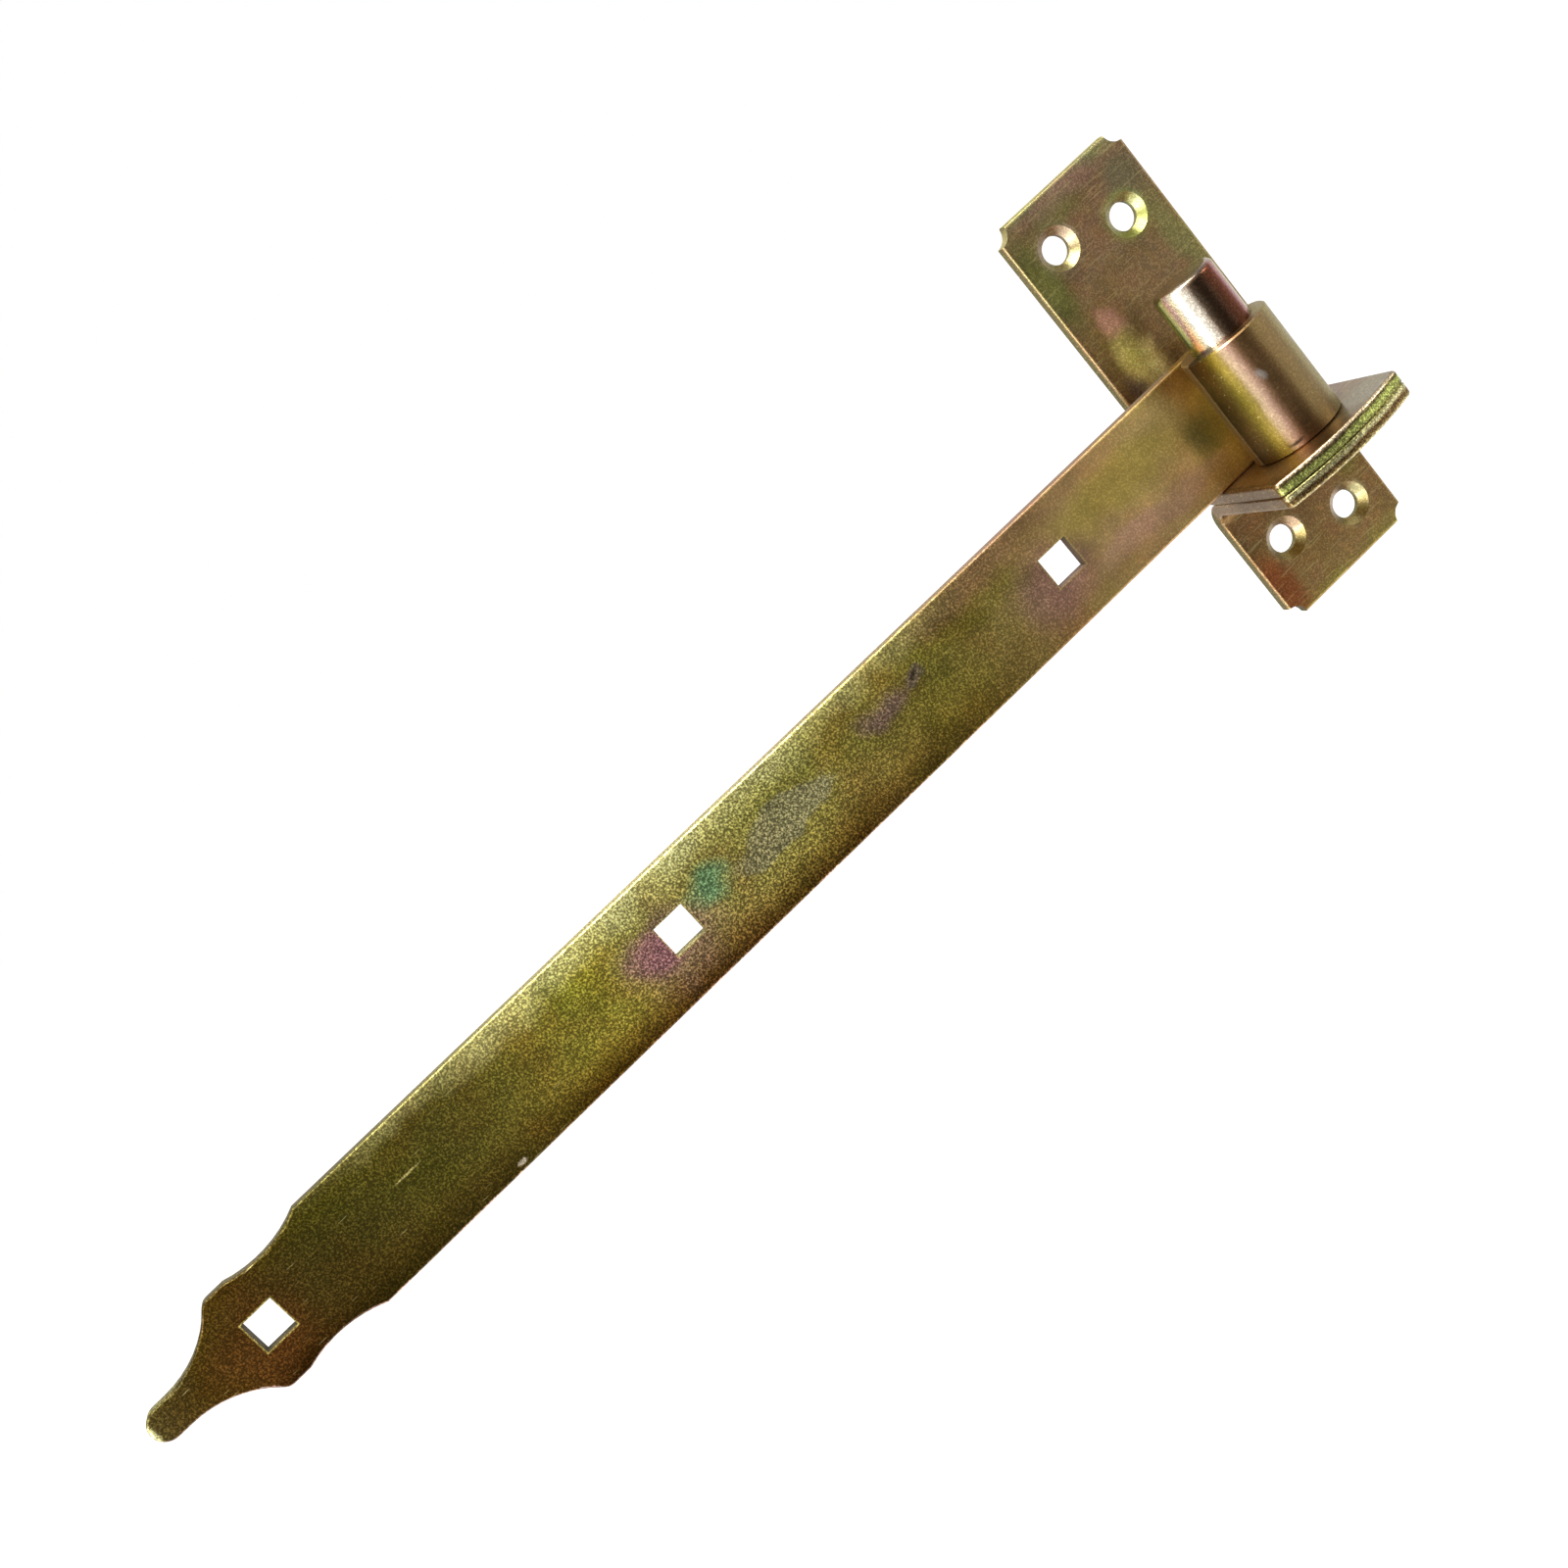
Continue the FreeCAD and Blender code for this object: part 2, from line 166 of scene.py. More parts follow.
print("tint ready")


# %% Patches of film thickness
def patches(tree, base, where, size, shade, strength):
    """Turn irregular patches of a colour, about size mm across, lighter, darker or another hue.

    The shade multiplies what is there. bcbcbc, half of white in linear light, changes nothing.
    """
    cloud = add(tree, "ShaderNodeTexNoise", {
        "Vector": where, "Scale": 1 / size, "Detail": 4.0, "Roughness": 0.55})
    amount = add(tree, "ShaderNodeMapRange", {
        "Value": cloud.outputs["Fac"], "From Min": 0.42, "From Max": 0.68,
        "To Min": 0.0, "To Max": strength}, interpolation_type="SMOOTHSTEP")
    mixed = add(tree, "ShaderNodeMix", {
        0: amount.outputs["Result"], 6: base, 7: linear(shade)},
        data_type="RGBA", blend_type="OVERLAY")
    return mixed.outputs[2]


print("patches ready")


# %% Angle round the pin, and the way that a surface faces
def angle_round_pin(tree, where):
    """Degrees round the pin's axis: 0 at +X, -90 towards the viewer, 180 on the strap's side."""
    axes = add(tree, "ShaderNodeSeparateXYZ", {0: where})
    forward = add(tree, "ShaderNodeMath", {0: axes.outputs["Y"], 1: pin_y}, operation="SUBTRACT")
    angle = add(tree, "ShaderNodeMath", {0: forward.outputs[0], 1: axes.outputs["X"]},
                operation="ARCTAN2")
    return add(tree, "ShaderNodeMath", {0: angle.outputs[0]}, operation="DEGREES").outputs[0]


def facing(tree):
    """The X, Y and Z of the direction in which the surface faces."""
    coordinates = add(tree, "ShaderNodeTexCoord")
    return add(tree, "ShaderNodeSeparateXYZ", {0: coordinates.outputs["Normal"]}).outputs


print("angle_round_pin and facing ready")

# %% [markdown]
# ## Worn rims with a painted highlight, and cut edges painted dark
#
# A hinge touches its neighbours in the barrel on its rims, so the film there is rubbed thin and
# pale, and the rims also carry a painted highlight, lighter where they face up, as if lit from
# above. The edges and hole walls behind the rims were cut, not rolled; they are painted dark and
# dull, as cut metal and as painted shade, with a painted highlight where they face up. Both are
# found by the way that the surface faces: a sheet that lies on the wall faces straight out, its cut
# edges face along the wall, and its rims are in between.

# %% Rims and edges of a sheet that lies along the wall
def rims_and_edges(tree, base, exact, inside, painted_highlight_rim):
    """Paint the rims pale and the cut edges dark, where inside is 1.

    Rims and edges that face up are painted lighter, in the painted highlight rim colour, as if lit
    from above. The share of cut metal is given back as well, for the finish.
    """
    rubbed = add(tree, "ShaderNodeTexNoise", {"Vector": exact, "Scale": 0.15, "Detail": 4.0})
    worn = add(tree, "ShaderNodeMapRange", {
        "Value": rubbed.outputs["Fac"], "From Min": 0.40, "From Max": 0.62,
        "To Min": 0.25, "To Max": 0.8})
    direction = facing(tree)
    out = add(tree, "ShaderNodeMath", {0: direction["Y"]}, operation="ABSOLUTE")
    shares = []
    for starts, full, strength in [(0.95, 0.80, worn.outputs["Result"]), (0.30, 0.15, 1.0)]:
        share = add(tree, "ShaderNodeMapRange", {
            "Value": out.outputs[0], "From Min": starts, "From Max": full,
            "To Min": 0.0, "To Max": strength})
        kept = add(tree, "ShaderNodeMath", {0: share.outputs["Result"], 1: inside},
                   operation="MULTIPLY")
        shares.append(kept.outputs[0])
    rim, cut = shares
    upward = add(tree, "ShaderNodeMapRange", {
        "Value": direction["Z"], "From Min": -0.4, "From Max": 0.4})
    # Painted highlight: rims that face up take the rim highlight colour, rims that face down a pale
    # rose
    pale = add(tree, "ShaderNodeMix", {
        0: upward.outputs["Result"], 6: linear("b08c78"), 7: painted_highlight_rim}, data_type="RGBA")
    rimmed = add(tree, "ShaderNodeMix", {0: rim, 6: base, 7: pale.outputs[2]}, data_type="RGBA")
    half_upward = add(tree, "ShaderNodeMath", {0: upward.outputs["Result"], 1: 0.5},
                      operation="MULTIPLY")
    # Cut edges are dark, as cut metal and painted shade, and lighter where they face up, a painted
    # highlight
    edge = add(tree, "ShaderNodeMix", {
        0: half_upward.outputs[0], 6: linear("3c3014"), 7: painted_highlight_rim}, data_type="RGBA")
    painted = add(tree, "ShaderNodeMix", {
        0: cut, 6: rimmed.outputs[2], 7: edge.outputs[2]}, data_type="RGBA")
    return painted.outputs[2], cut


print("rims_and_edges ready")

# %% [markdown]
# ## The grain, and what light does on it
#
# Zinc from a barrel bath has a fine, sparkling grain: crystals that each catch the light at their
# own angle. The real ones are under 0.1 mm, too fine to show, so they are drawn about 0.5 mm wide.
# A bump map alone would be lost, because at this size the camera averages bumps out. So the grain
# also changes the colour, as pale specks on a darker ground. A separate, slower noise varies the
# roughness, as handling does, so that the gloss is uneven too.

# %% Finish a zinc surface
def zinc(tree, base, exact, grain_size, sparkle, rough, cut=None, scratch_level=0.745):
    """Add grain and a few hair scratches to a colour, and make it a metal surface.

    Sparkle is how far the specks stand out. The cut share turns the surface to the dull,
    oxidised metal of a cut edge, and a turned part has none. A lower scratch level lets more
    scratches show.
    """
    grain = add(tree, "ShaderNodeTexNoise", {
        "Vector": exact, "Scale": 1 / grain_size, "Detail": 3.0, "Roughness": 0.7})
    depth = add(tree, "ShaderNodeMapRange", {
        "Value": grain.outputs["Fac"], "From Min": 0.43, "From Max": 0.72,
        "To Min": -0.6, "To Max": 2.4}, interpolation_type="SMOOTHSTEP")
    level = add(tree, "ShaderNodeMath", {0: depth.outputs["Result"], 1: sparkle, 2: 1.0},
                operation="MULTIPLY_ADD")
    speckled = add(tree, "ShaderNodeVectorMath", {0: base, "Scale": level.outputs[0]},
                   operation="SCALE")

    # Hair scratches: noise drawn out to thin lines, kept only where it is strongest
    scratched = speckled.outputs[0]
    for turn, drawn in [(0.25, (0.10, 1.0, 2.2)), (-1.1, (0.12, 1.0, 2.4))]:
        lines = add(tree, "ShaderNodeMapping", {
            "Vector": exact, "Rotation": (0.0, turn, 0.0), "Scale": drawn})
        hair = add(tree, "ShaderNodeTexNoise", {
            "Vector": lines.outputs[0], "Scale": 1.0, "Detail": 1.0})
        scratch = add(tree, "ShaderNodeMapRange", {
            "Value": hair.outputs["Fac"], "From Min": scratch_level,
            "From Max": scratch_level + 0.03, "To Min": 0.0, "To Max": 0.4})
        scratched = add(tree, "ShaderNodeMix", {
            0: scratch.outputs["Result"], 6: scratched, 7: linear("b9ab72")},
            data_type="RGBA").outputs[2]

    worn = add(tree, "ShaderNodeTexNoise", {"Vector": exact, "Scale": 0.12, "Detail": 5.0})
    satin = add(tree, "ShaderNodeMapRange", {
        "Value": worn.outputs["Fac"], "From Min": 0.3, "From Max": 0.7,
        "To Min": rough - 0.07, "To Max": rough + 0.07})
    roughness, metal = satin.outputs["Result"], 1.0
    if cut is not None:
        roughness = add(tree, "ShaderNodeMath", {0: cut, 1: 0.4, 2: roughness},
                        operation="MULTIPLY_ADD").outputs[0]
        metal = add(tree, "ShaderNodeMath", {0: cut, 1: -0.5, 2: metal},
                    operation="MULTIPLY_ADD").outputs[0]
    bumps = add(tree, "ShaderNodeBump", {
        "Height": grain.outputs["Fac"], "Strength": 0.5, "Distance": 0.06 * MM})
    surface = add(tree, "ShaderNodeBsdfPrincipled", {
        "Base Color": scratched, "Metallic": metal, "Roughness": roughness,
        "Normal": bumps.outputs["Normal"]})
    add(tree, "ShaderNodeOutputMaterial", {"Surface": surface.outputs[0]})


print("zinc ready")


# %% Start a material, and put it on a part
def new_material(name):
    """An empty node material."""
    material = bpy.data.materials.new(name)
    material.use_nodes = True
    material.node_tree.nodes.clear()
    return material


def dress(part, material):
    """Give a CAD part its finish, in every slot that it has."""
    for slot in parts[part].material_slots:
        slot.material = material
    print(part, "wears", material.name)


# %% [markdown]
# ## The strap
#
# The bath left the strap dark olive brown at its tip, olive gold in the middle and warm gold near
# the eye. Rings of mauve lie round the square holes, where the liquid hung and dried last, with a
# green patch beside the middle one and a greyish smear on towards the eye.

# %% Strap colours along its length
strap_zinc = new_material("yellow_passivated_zinc_satin_strap")
tree = strap_zinc.node_tree
exact, wandering = places(tree, wander=6)
axes = add(tree, "ShaderNodeSeparateXYZ", {0: wandering})
colour = along(tree, axes.outputs["X"], [
    (-338, "3d361f"), (-322, "38290c"), (-305, "36240c"), (-285, "372f10"), (-245, "4b441a"),
    (-222, "6a6226"), (-205, "7c7530"), (-184, "7c703c"), (-160, "827c40"), (-130, "7a6e36"),
    (-110, "6e622c"), (-92, "726630"), (-62, "93794f"), (-40, "a68c5c"), (-22, "bca068"),
    (-14, "9c8650")])
colour = patches(tree, colour, wandering, 30, "b6c894", 0.5)
colour = patches(tree, colour, exact, 19, "c8b0b0", 0.6)
print("strap base:", len(tree.nodes), "nodes")

# %% [markdown]
# Across the strap the colour is shaded: a painted highlight makes it pale and bright along the
# upper edge, where the rounded rim faces the lamp above, and painted shade makes it dark, with a
# reddish tint, along the lower one. The change is strongest in the middle of the strap. An overlay
# keeps the colour that is there and only shades it.

# %% Painted highlight at the upper edge, painted shade towards the lower one
unsteady = add(tree, "ShaderNodeSeparateXYZ", {0: places(tree, wander=1.5)[1]})
# Painted light across the strap: painted highlight to the upper edge, painted shade to the lower
shade = along(tree, unsteady.outputs["Z"], [
    (-19.5, "64483e"), (-17.5, "785c50"), (-14.5, "b09a8e"), (-11.5, "d0c6c0"), (-8.5, "d4d0cc"),
    (-5.5, "c6c6c4"), (-2.5, "c8cac8"), (0.5, "d2d4d0"), (3.5, "d8dad6"), (6.5, "dedecc"),
    (10.5, "e2dcb4")])
# How strong the painted highlight and shade across the strap are, along its length
amount = along(tree, axes.outputs["X"], [
    (-338, 0.8), (-270, 0.6), (-240, 0.5), (-218, 0.95), (-140, 0.95), (-100, 0.5),
    (-70, 0.2), (0, 0.2)])
colour = add(tree, "ShaderNodeMix", {0: amount, 6: colour, 7: shade},
             data_type="RGBA", blend_type="OVERLAY").outputs[2]
print("shade across the strap:", len(tree.nodes), "nodes")

# %% [markdown]
# The stains come next, with one painted highlight among them: the long pale glow along the upper
# edge. Each has a centre, a reach and a colour, and most are placed from the middle square hole:
# how far ahead of it, towards the eye, and how far above. The reach in Y is long, so a stain goes
# round the edge to the back, as the liquid did. A chip and a scratch are short in Y, and stay on
# the front.

# %% Strap stains round the holes, and a painted highlight
square_holes_x = [-61.0, -183.0, -305.0]
hole_side = 8.5
hole_rings = zip(square_holes_x, ["866062", "8c6468", "523214"], [0.55, 0.55, 0.4])
for hole_x, ring, strength in hole_rings:
    place = (hole_x - 4, pin_y, strap_middle_z - 2)
    colour = tint(tree, colour, wandering, place, (17, 40, 13), ring, strength)
middle_hole = square_holes_x[1]
for ahead, above, reach, stain, strength, fade in [
        (-8, -1, (9, 40, 9), "945c6e", 0.55, 0.5),
        (11, 3, (9, 40, 6), "66946a", 0.75, 0.7),
        (33, 1, (17, 40, 6), "8c8664", 0.7, 0.25),
        # Painted highlight: a long pale glow along the upper edge in the middle of the strap
        (8, 15.5, (120, 40, 9), "dcd48a", 0.9, 0.9),
        (112, 13, (46, 40, 8), "7c5c48", 0.6, 0.8),
        (68, 4, (9, 40, 4.5), "7c5c62", 0.55, 0.7),
        (77, 5, (4, 40, 3), "70605c", 0.6, 0.5),
        (100, 6, (22, 40, 6), "6c6424", 0.5, 0.7),
        (146, 4, (30, 40, 8), "a0903c", 0.6, 0.7),
        (148, -8, (28, 40, 5), "a07c74", 0.45, 0.7),
        (169, 0, (8, 40, 10), "4e5430", 0.65, 0.7),
        (171, 14, (8, 40, 8), "5a3416", 0.6, 0.7)]:
    place = (middle_hole + ahead, pin_y, strap_middle_z + above)
    colour = tint(tree, colour, wandering, place, reach, stain, strength, fade)
burnt_dot = (middle_hole + 77, pin_y, strap_middle_z + 5.5)
colour = tint(tree, colour, wandering, burnt_dot, (2.2, 40, 1.3), "241a14", 0.8)
chip = (square_holes_x[2] + 62, bar_front_y, strap_low.z / MM + 1.8)
colour = tint(tree, colour, exact, chip, (1.6, 2, 0.8), "c8b8a0", 0.75, 0.6)
scratch = (square_holes_x[2] + 43, bar_front_y, strap_middle_z + 3)
colour = tint(tree, colour, exact, scratch, (4.5, 2, 0.35), "b4a668", 0.55, 0.5)
print("strap stains:", len(tree.nodes), "nodes")

# %% [markdown]
# The eye shows its colours in stripes along the roll, partly the film's own tints and partly
# painted light: the rose stripe is a painted highlight, the dark brown stripe beside it a painted
# dark reflection, and the dark brown at the end painted shade where the roll meets the bar. They go
# round the pin from khaki through brown, rose and olive to that dark brown.

# %% Stripes round the eye, with painted highlight, reflection and shade
# Painted light in the stripes: rose near -125 degrees is painted highlight, dark brown near -100 a
# painted reflection, -180 to -157 painted shade
stripes = along(tree, angle_round_pin(tree, places(tree, wander=1.5)[1]), [
    (-180, "1a1006"), (-166, "261605"), (-157, "342405"), (-148, "443806"), (-140, "54480f"),
    (-133, "68592a"), (-126, "b89e84"), (-120, "b89482"), (-113, "805c4a"), (-107, "503426"),
    (-97, "4a3022"), (-90, "58402a"), (-84, "6e5a3c"), (-60, "6e5c40"), (-50, "847a52"),
    (0, "8c8058"), (180, "8a7048")])
on_strap = add(tree, "ShaderNodeSeparateXYZ", {0: exact})
# The roll is all that stands out in front of the flat bar
on_roll = add(tree, "ShaderNodeMapRange", {
    "Value": on_strap.outputs["Y"], "From Min": bar_front_y - 0.2, "From Max": bar_front_y - 1.3,
    "To Min": 0.0, "To Max": 0.85})
colour = add(tree, "ShaderNodeMix", {0: on_roll.outputs["Result"], 6: colour, 7: stripes},
             data_type="RGBA").outputs[2]
grey_spot, dark_spot = (-5, -34, 0), (-6, -33.5, -17)
colour = tint(tree, colour, wandering, grey_spot, (2.0, 4, 1.5), "b0aca4", 0.5)
colour = tint(tree, colour, wandering, dark_spot, (3.5, 4, 1.0), "1c1410", 0.8)
print("eye stripes and spots:", len(tree.nodes), "nodes")

# %% Strap rims and cut edges
flat = add(tree, "ShaderNodeMath", {0: on_strap.outputs["X"], 1: -eye_radius},
           operation="LESS_THAN")
# Painted highlight on the strap's rims: bright in the middle of the strap, dark at the tip
painted_highlight_rim = along(tree, axes.outputs["X"], [
    (-338, "8a8650"), (-322, "4c4424"), (-270, "4c4826"), (-235, "787040"), (-190, "aea468"),
    (-150, "a4986a"), (-110, "84724a"), (-60, "846454"), (-20, "7a6246")])
colour, cut = rims_and_edges(tree, colour, exact, flat.outputs[0], painted_highlight_rim)
print("strap rims and cut edges:", len(tree.nodes), "nodes")

# %% [markdown]
# The square holes are punched clean through, so their rims are sharp. Each rim is drawn as a pale
# line round the hole, a painted highlight that also stands for rubbed wear, found by the larger of
# the two offsets from its centre.

# %% Painted highlight on the rims of the square holes
def square_hole_rim_highlight(tree, base, exact, centre_x, half):
    """Draw the pale line round a square hole: a painted highlight, with rubbed wear."""
    offset = add(tree, "ShaderNodeVectorMath", {0: exact, 1: (centre_x, 0, strap_middle_z)},
                 operation="SUBTRACT")
    size = add(tree, "ShaderNodeVectorMath", {0: offset.outputs[0]}, operation="ABSOLUTE")
    sides = add(tree, "ShaderNodeSeparateXYZ", {0: size.outputs[0]})
    out = add(tree, "ShaderNodeMath", {0: sides.outputs["X"], 1: sides.outputs["Z"]},
              operation="MAXIMUM")
    line = add(tree, "ShaderNodeMapRange", {
        "Value": out.outputs[0], "From Min": half + 0.45, "From Max": half + 0.1,
        "To Min": 0.0, "To Max": 0.5})
    outside = add(tree, "ShaderNodeMath", {0: out.outputs[0], 1: half + 0.02},
                  operation="GREATER_THAN")
    share = add(tree, "ShaderNodeMath", {0: line.outputs["Result"], 1: outside.outputs[0]},
                operation="MULTIPLY")
    # c2b060 is the painted highlight on the hole's rim
    return add(tree, "ShaderNodeMix", {
        0: share.outputs[0], 6: base, 7: linear("c2b060")}, data_type="RGBA").outputs[2]


for hole_x in square_holes_x:
    colour = square_hole_rim_highlight(tree, colour, exact, hole_x, hole_side / 2)
print("square holes:", len(square_holes_x), "rims")

# %% Strap nose, with a painted highlight, and finish
# Painted highlight: a pale yellow glow round the nose of the tip
nose_highlight = (tip_x, bar_front_y + 0.3, strap_middle_z)
colour = tint(tree, colour, exact, nose_highlight, (2.0, 3, 5.0), "dcd69a", 0.6)
sparkle = along(tree, on_strap.outputs["X"], [
    (-338, 0.7), (-300, 0.68), (-240, 0.72), (-210, 0.85), (-150, 0.98), (-120, 0.75),
    (-90, 0.58), (-55, 0.21), (0, 0.18)])
zinc(tree, colour, exact, grain_size=0.5, sparkle=sparkle, rough=0.42, cut=cut)
dress("strap", strap_zinc)
print("strap finish:", len(tree.nodes), "nodes")

# %% [markdown]
# ## The wall plate
#
# Both sheets come out of the same bath, browner than the strap, with a green cast at one screw
# hole and grey smudges near the top corner. A bright gold band beside the pin is a painted
# highlight, and the left side of the shelf is darkened with painted shade. The shelf's top is brown
# at the wall and fades to a pale grey beige at its front. Its front edge shows the two sheets as
# bands, partly painted highlight and shade: a green one above, and a pale one over a dark one
# below.
# The countersinks, cut through the sheet's skin, took the film thinnest and are green, with a
# near-white painted highlight on one side.

# %% Plate colours from bottom to top
plate_zinc = new_material("yellow_passivated_zinc_satin_plate")
tree = plate_zinc.node_tree
exact, wandering = places(tree, wander=4)
axes = add(tree, "ShaderNodeSeparateXYZ", {0: wandering})
colour = along(tree, axes.outputs["Z"], [
    (-60, "867c42"), (-56, "826a44"), (-45, "7e6340"), (-30, "785d3c"), (-23, "725838"),
    (0, "7e6848"), (30, "866e50"), (56, "7c644c"), (60, "84825a")])
colour = patches(tree, colour, wandering, 15, "bcc0a4", 0.5)
colour = patches(tree, colour, exact, 9, "c4b0b0", 0.5)
colour = patches(tree, colour, exact, 3.5, "d0ccb0", 0.4)
print("plate base:", len(tree.nodes), "nodes")

# %% Plate stains
# The front of the plate, and the top of its shelf
face_y, shelf_z = -3.5, -19.5
for place, reach, stain, strength in [
        ((-17, face_y, 42), (7, 8, 19), "6c7438", 0.7),
        ((14, face_y, 50), (9, 8, 9), "66644a", 0.7),
        ((17, face_y, 30), (5, 8, 20), "7d7f4a", 0.6),
        ((-2, face_y, 57), (16, 8, 4), "a37c6c", 0.6),
        # Painted highlight: the bright gold band beside the pin
        ((-10, face_y, 9), (6.5, 3, 21), "fce49a", 0.95),
        ((-5, face_y, 54), (12, 8, 5), "6c763c", 0.45),
        ((-10, face_y, 26), (5, 3, 4.5), "cf948a", 0.65),
        ((-15, face_y, 8), (3.5, 6, 9), "7c6c70", 0.5),
        ((-17, face_y, -50), (5, 8, 14), "8a4626", 0.7),
        ((16, face_y, -36), (6, 8, 8), "6e6a34", 0.6),
        ((-12, -32, shelf_z), (14, 18, 3), "b08850", 0.8),
        ((16, -38, shelf_z), (18, 16, 3), "857b60", 0.85),
        # Painted shade: darkens the left side face of the shelf
        ((-20, -24, -23), (1.6, 26, 9), "5a4426", 0.9),
        ((-17, -4, -17), (4, 3, 3.5), "5c9868", 0.7)]:
    colour = tint(tree, colour, wandering, place, reach, stain, strength)
print("plate stains:", len(tree.nodes), "nodes")

# %% [markdown]
# The front edge shows each sheet's rounded edge as bands of colour. The pale bands along the rims
# are painted highlight, the thin dark line at the seam between the two sheets and the dark band on
# the lower sheet are painted shade, and the green and khaki between them are the film's own colour.
# The bands follow the height on that edge, with a slightly ragged outline, and they sparkle more
# than the flat faces do.

# %% Bands along the shelf's front edge, partly painted highlight and shade
# The edge bows out from Y -40 at its corners to -44, so all of it lies in front of this
bands_from_y = -38.0
to_front = add(tree, "ShaderNodeMapRange", {
    "Value": facing(tree)["Y"], "From Min": -0.35, "From Max": -0.6,
    "To Min": 0.0, "To Max": 0.9})
ragged = add(tree, "ShaderNodeSeparateXYZ", {0: places(tree, wander=0.7)[1]})
at_front = add(tree, "ShaderNodeMath", {0: ragged.outputs["Y"], 1: bands_from_y},
               operation="LESS_THAN")
front_edge = add(tree, "ShaderNodeMath", {0: to_front.outputs["Result"], 1: at_front.outputs[0]},
                 operation="MULTIPLY")
# Painted light in the bands: the pale rims are painted highlight, the dark lines painted shade
bands = along(tree, ragged.outputs["Z"], [
    (-26.5, "b4b084"), (-26.1, "a8986a"), (-25.6, "6e5c38"), (-24.8, "553e26"), (-24.5, "8c7c54"),
    (-24.1, "c6c090"), (-23.4, "9c9460"), (-23.0, "5a5836"), (-22.6, "8a8e4e"), (-21.7, "a6ae5e"),
    (-21.1, "929850"), (-20.7, "565030"), (-20.3, "5e5438"), (-19.9, "bca688")])
colour = add(tree, "ShaderNodeMix", {0: front_edge.outputs[0], 6: colour, 7: bands},
             data_type="RGBA").outputs[2]
print("shelf bands:", len(tree.nodes), "nodes")

# %% Plate rims, countersinks and cut edges
on_plate = add(tree, "ShaderNodeSeparateXYZ", {0: exact})
legs = add(tree, "ShaderNodeMath", {0: on_plate.outputs["Y"], 1: face_y - 0.1},
           operation="GREATER_THAN")
# 9c9258 is the painted highlight colour of the plate's rims and edges that face up
colour, cut = rims_and_edges(tree, colour, exact, legs.outputs[0], linear("9c9258"))
for x, z, cast, glint in [
        (-9.2, 47.5, "8f886a", "c4b096"),
        (9.2, 42.5, "86a048", "c4c88c"),
        (9.2, -47.5, "8a8058", "b8b484"),
        (-9.2, -42.5, "8e8254", "bca084")]:
    colour = tint(tree, colour, exact, (x, face_y, z), (7.6, 3, 7.6), cast, 0.75)
    # Painted highlight: a near-white glint on one side of each countersink
    lit_side = (x + 4, face_y + 1, z + 1)
    colour = tint(tree, colour, exact, lit_side, (2.6, 3, 3.4), glint, 0.65)
sparkle = add(tree, "ShaderNodeMath", {0: front_edge.outputs[0], 1: 0.6, 2: 0.3},
              operation="MULTIPLY_ADD").outputs[0]
zinc(tree, colour, exact, grain_size=0.42, sparkle=sparkle, rough=0.34, cut=cut,
     scratch_level=0.69)
dress("upper_bracket", plate_zinc)
dress("lower_bracket", plate_zinc)
print("plate finish:", len(tree.nodes), "nodes")

# %% [markdown]
# ## The pin
#
# The pin is turned from round bar, so under the same bath it is much glossier than the sheets. Its
# colour holds long stripes of painted light: a near-white painted highlight beside a dark painted
# reflection of the room, with a green cast on one flank and a rose one on the other.

# %% Pin
pin_zinc = new_material("yellow_passivated_zinc_bright_turned_pin")
tree = pin_zinc.node_tree
exact, wandering = places(tree, wander=1.2)
# Painted light round the pin: near-white painted highlight from -152 to -124, dark painted
# reflection from -100 to -56
colour = along(tree, angle_round_pin(tree, wandering), [
    (-180, "7d8a4a"), (-170, "a8a060"), (-161, "b08a80"), (-152, "d8cdb4"), (-124, "e6dccb"),
    (-110, "8c7660"), (-100, "54402f"), (-84, "3f2c20"), (-66, "55301f"), (-56, "6a3a2c"),
    (-48, "a07474"), (-36, "a08d6c"), (0, "9a8a5c"), (180, "7d8a4a")])
colour = patches(tree, colour, wandering, 7, "c4b0a8", 0.4)
pin_top = (0, pin_y, pin_high.z / MM)
colour = tint(tree, colour, exact, pin_top, (11, 11, 1.5), "9a9080", 0.8)
zinc(tree, colour, exact, grain_size=0.42, sparkle=0.35, rough=0.2)
dress("pin", pin_zinc)
print("pin finish:", len(tree.nodes), "nodes")

# %% [markdown]
# ## Studio
#
# A plain pale floor, a white surround, soft lamps and one grey card. The surround is white to the
# camera and in reflections, and lights the metal at a plain level. A long lamp above draws the
# bright line along the strap's upper edge, one at the left draws the stripe down the pin, and the
# grey card in front of the hinge gives the round parts their darker middle. Painted highlight and
# shade in the metal's colours add to each of these. The card is seen in reflections alone.

# %% What the camera and the reflections see
def background_share(tree):
    """1 for what the camera, a reflection or a pane of glass sees, and 0 for lighting."""
    ray = add(tree, "ShaderNodeLightPath").outputs
    seen = add(tree, "ShaderNodeMath", {0: ray["Is Camera Ray"], 1: ray["Is Glossy Ray"]},
               operation="MAXIMUM")
    seen = add(tree, "ShaderNodeMath", {0: seen.outputs[0], 1: ray["Is Transmission Ray"]},
               operation="MAXIMUM")
    return seen.outputs[0]


print("background_share ready")


# %% Surround
world = bpy.data.worlds.new("white_surround")
bpy.context.scene.world = world
world.use_nodes = True
world.node_tree.nodes.clear()
tree = world.node_tree
level = add(tree, "ShaderNodeMapRange", {
    "Value": background_share(tree), "To Min": 0.6, "To Max": 1.0})
sky = add(tree, "ShaderNodeBackground", {
    "Color": linear("ffffff"), "Strength": level.outputs["Result"]})
add(tree, "ShaderNodeOutputWorld", {"Surface": sky.outputs[0]})
print("surround: white, 0.6 of white on matt surfaces")

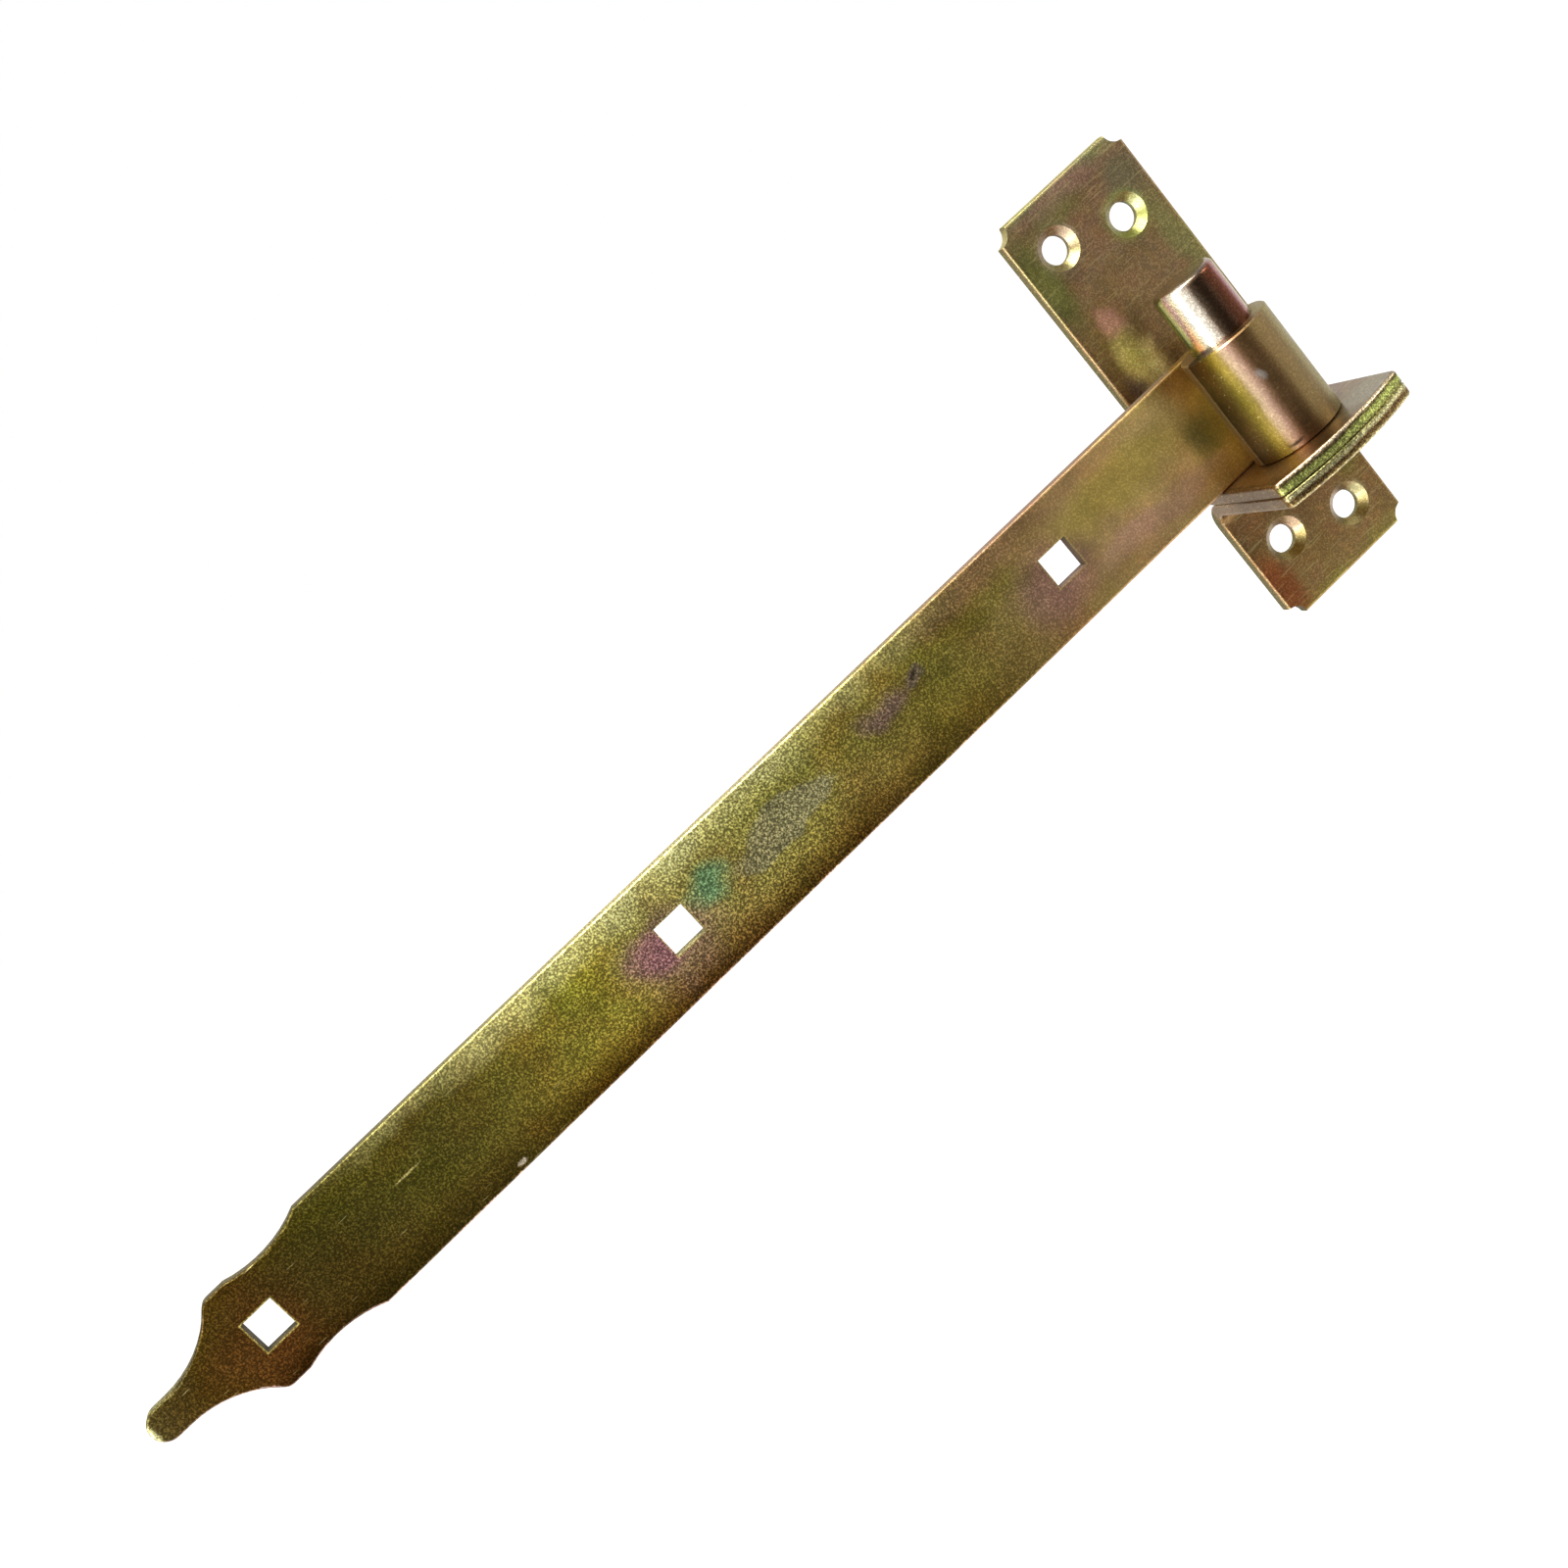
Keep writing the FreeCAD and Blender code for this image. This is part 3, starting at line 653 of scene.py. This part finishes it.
# %% Floor
floor_drop = 0.45
bpy.ops.object.select_all(action="DESELECT")
bpy.ops.mesh.primitive_plane_add(size=30)
floor = bpy.context.object
floor.name = "floor"
bpy.ops.object.mode_set(mode="EDIT")
bpy.ops.mesh.select_all(action="SELECT")
bpy.ops.transform.translate(value=(0, 0, plate_low.z - floor_drop))
bpy.ops.object.mode_set(mode="OBJECT")

paper = new_material("white_paper_floor")
tree = paper.node_tree
glow = add(tree, "ShaderNodeMapRange", {
    "Value": background_share(tree), "To Min": 0.0, "To Max": 0.65})
matte = add(tree, "ShaderNodeBsdfDiffuse", {"Color": linear("e8e8e8")})
white = add(tree, "ShaderNodeEmission", {
    "Color": linear("ffffff"), "Strength": glow.outputs["Result"]})
both = add(tree, "ShaderNodeAddShader", {0: matte.outputs[0], 1: white.outputs[0]})
add(tree, "ShaderNodeOutputMaterial", {"Surface": both.outputs[0]})
floor.data.materials.append(paper)
print("floor at Z", round((plate_low.z - floor_drop) / MM), "mm")

# %% Lamps
middle = Vector((-0.15, -0.02, 0.0))
for name, place, wide, tall, power in [
        ("top_softbox", (-0.16, -0.15, 0.60), 0.70, 0.22, 8.0),
        ("left_softbox", (-0.72, -0.30, 0.05), 0.16, 0.70, 4.0),
        ("right_softbox", (0.70, -0.45, 0.30), 0.35, 0.35, 3.0),
        ("back_softbox", (0.0, 0.75, 0.45), 0.50, 0.30, 3.0)]:
    lamp = bpy.data.lights.new(name, "AREA")
    lamp.shape = "RECTANGLE"
    lamp.size = wide
    lamp.size_y = tall
    lamp.energy = power
    holder = bpy.data.objects.new(name, lamp)
    bpy.context.collection.objects.link(holder)
    holder.location = place
    holder.rotation_mode = "QUATERNION"
    holder.rotation_quaternion = (middle - Vector(place)).to_track_quat("-Z", "Y")
    print(name, "power", power, "W")

# %% Grey card
bpy.ops.object.select_all(action="DESELECT")
bpy.ops.mesh.primitive_plane_add(size=1)
card = bpy.context.object
card.name = "grey_card"
bpy.ops.object.mode_set(mode="EDIT")
bpy.ops.mesh.select_all(action="SELECT")
bpy.ops.transform.resize(value=(0.75, 0.6, 1))
bpy.ops.transform.rotate(value=math.radians(90), orient_axis="X", center_override=(0, 0, 0))
bpy.ops.transform.translate(value=(0.05, -0.75, -0.15))
bpy.ops.object.mode_set(mode="OBJECT")
card.visible_camera = False
card.visible_diffuse = False
card.visible_shadow = False
grey = new_material("grey_card")
tree = grey.node_tree
even = add(tree, "ShaderNodeEmission", {"Color": linear("ffffff"), "Strength": 0.25})
add(tree, "ShaderNodeOutputMaterial", {"Surface": even.outputs[0]})
card.data.materials.append(grey)
print("card", [round(side, 2) for side in card.dimensions], "m")

# %% [markdown]
# ## Camera
#
# The camera looks at the strap from the front and a little from above and is turned on its side,
# so that the strap climbs from the lower left to the eye at the upper right.

# %% Camera
target = Vector((-0.143, -0.011, 0.002))
place = Vector((-0.20, -0.44, 0.105))
roll = math.radians(42)
lens = bpy.data.cameras.new("photo_camera")
lens.lens = 45
camera = bpy.data.objects.new("photo_camera", lens)
bpy.context.collection.objects.link(camera)
turn = (target - place).to_track_quat("-Z", "Y").to_matrix().to_4x4()
camera.matrix_world = Matrix.Translation(place) @ turn @ Matrix.Rotation(-roll, 4, "Z")
bpy.context.scene.camera = camera
bpy.context.scene.view_settings.view_transform = "Standard"
print("camera", round((target - place).length / MM), "mm from the strap")
print("rolled by", round(math.degrees(roll)), "degrees")
